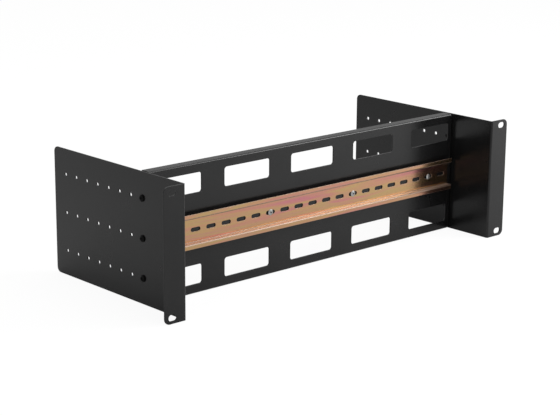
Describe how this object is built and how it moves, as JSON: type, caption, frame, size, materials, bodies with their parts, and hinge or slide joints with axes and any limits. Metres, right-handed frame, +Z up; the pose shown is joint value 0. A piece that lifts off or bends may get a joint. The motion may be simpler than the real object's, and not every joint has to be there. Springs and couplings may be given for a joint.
{
  "type": "rack-mount din rail panel",
  "caption": "Black folded-steel rack panel that holds a yellow-zinc top-hat rail between two side brackets with rack ears.",
  "frame": {"origin": "middle of the base: half way across, half way from the ears' front face to the plates' rear edges, at the lower edges", "axes": "+X along the rail, to the right seen from the front; +Y to the back of the rack; +Z up"},
  "size_m": [0.4826, 0.209, 0.1326],
  "materials": {
    "black_coat": "satin black powder coat on folded steel, fine texture",
    "yellow_zinc": "yellow-chromate zinc, glossy, iridescent patches",
    "black_screw": "black zinc, satin",
    "rivet_aluminium": "plain aluminium, slightly dulled",
    "mandrel_steel": "plain steel, broken end"
  },
  "bodies": {
    "root": {"left_bracket": "black_coat", "right_bracket": "black_coat", "cross_panel": "black_coat", "din_rail": "yellow_zinc", "side_screw_left_lower": "black_screw", "side_screw_left_middle": "black_screw", "side_screw_left_upper": "black_screw", "side_screw_right_lower": "black_screw", "side_screw_right_middle": "black_screw", "side_screw_right_upper": "black_screw", "rail_rivet_1": "rivet_aluminium", "rail_rivet_2": "rivet_aluminium", "rail_rivet_3": "rivet_aluminium", "rail_rivet_4": "rivet_aluminium", "rivet_mandrel_1": "mandrel_steel", "rivet_mandrel_2": "mandrel_steel", "rivet_mandrel_3": "mandrel_steel", "rivet_mandrel_4": "mandrel_steel"}
  },
  "joints": []
}
